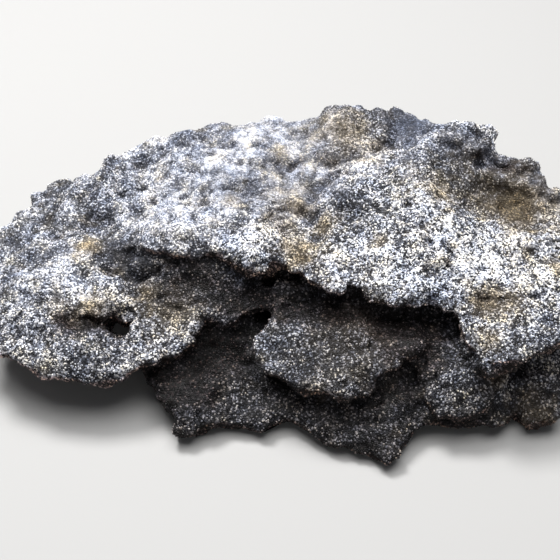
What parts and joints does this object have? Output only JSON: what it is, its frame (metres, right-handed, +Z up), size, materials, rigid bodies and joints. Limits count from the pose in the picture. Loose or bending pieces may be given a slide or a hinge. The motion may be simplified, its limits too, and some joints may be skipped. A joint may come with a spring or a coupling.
{
  "type": "fulgurite",
  "caption": "Rough grey crust of lightning-fused sand: lumpy sheets that stand one above another, with a vent through the left lobe.",
  "frame": {"origin": "under the middle of the piece, on the surface that it rests on", "axes": "+X along the piece to its high right end, +Z up, -Y towards the open front with the ledge"},
  "size_m": [0.082, 0.0524, 0.0207],
  "materials": {
    "fused_sand": "rough opaque crust of white, grey and black sand grains half melted into glass"
  },
  "bodies": {
    "root": {"fulgurite": "fused_sand"}
  },
  "joints": []
}
